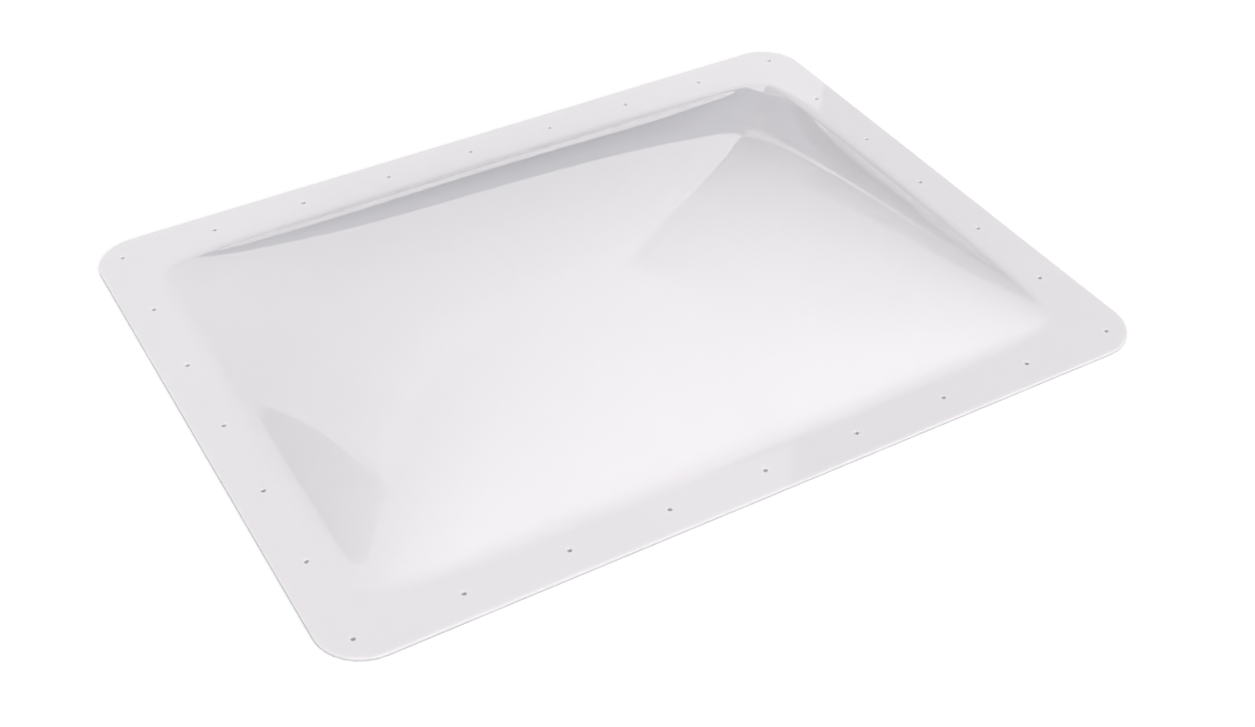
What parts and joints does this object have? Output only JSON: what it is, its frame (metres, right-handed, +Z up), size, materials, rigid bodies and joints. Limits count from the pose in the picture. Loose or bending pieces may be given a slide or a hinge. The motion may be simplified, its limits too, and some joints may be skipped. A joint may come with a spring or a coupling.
{
  "type": "rv skylight",
  "caption": "Rectangular roof skylight for a caravan or camper: a translucent white sheet blown into a shallow dome, with a flat drilled flange.",
  "frame": {"origin": "middle of the flange's underside, on the roof surface", "axes": "+X along the long side, +Y along the short side, +Z up out of the roof, towards the crown of the dome"},
  "size_m": [0.87, 0.6668, 0.091],
  "materials": {
    "white_polycarbonate": "translucent opal white polycarbonate sheet, glossy as formed"
  },
  "bodies": {
    "root": {"skylight_dome": "white_polycarbonate"}
  },
  "joints": []
}
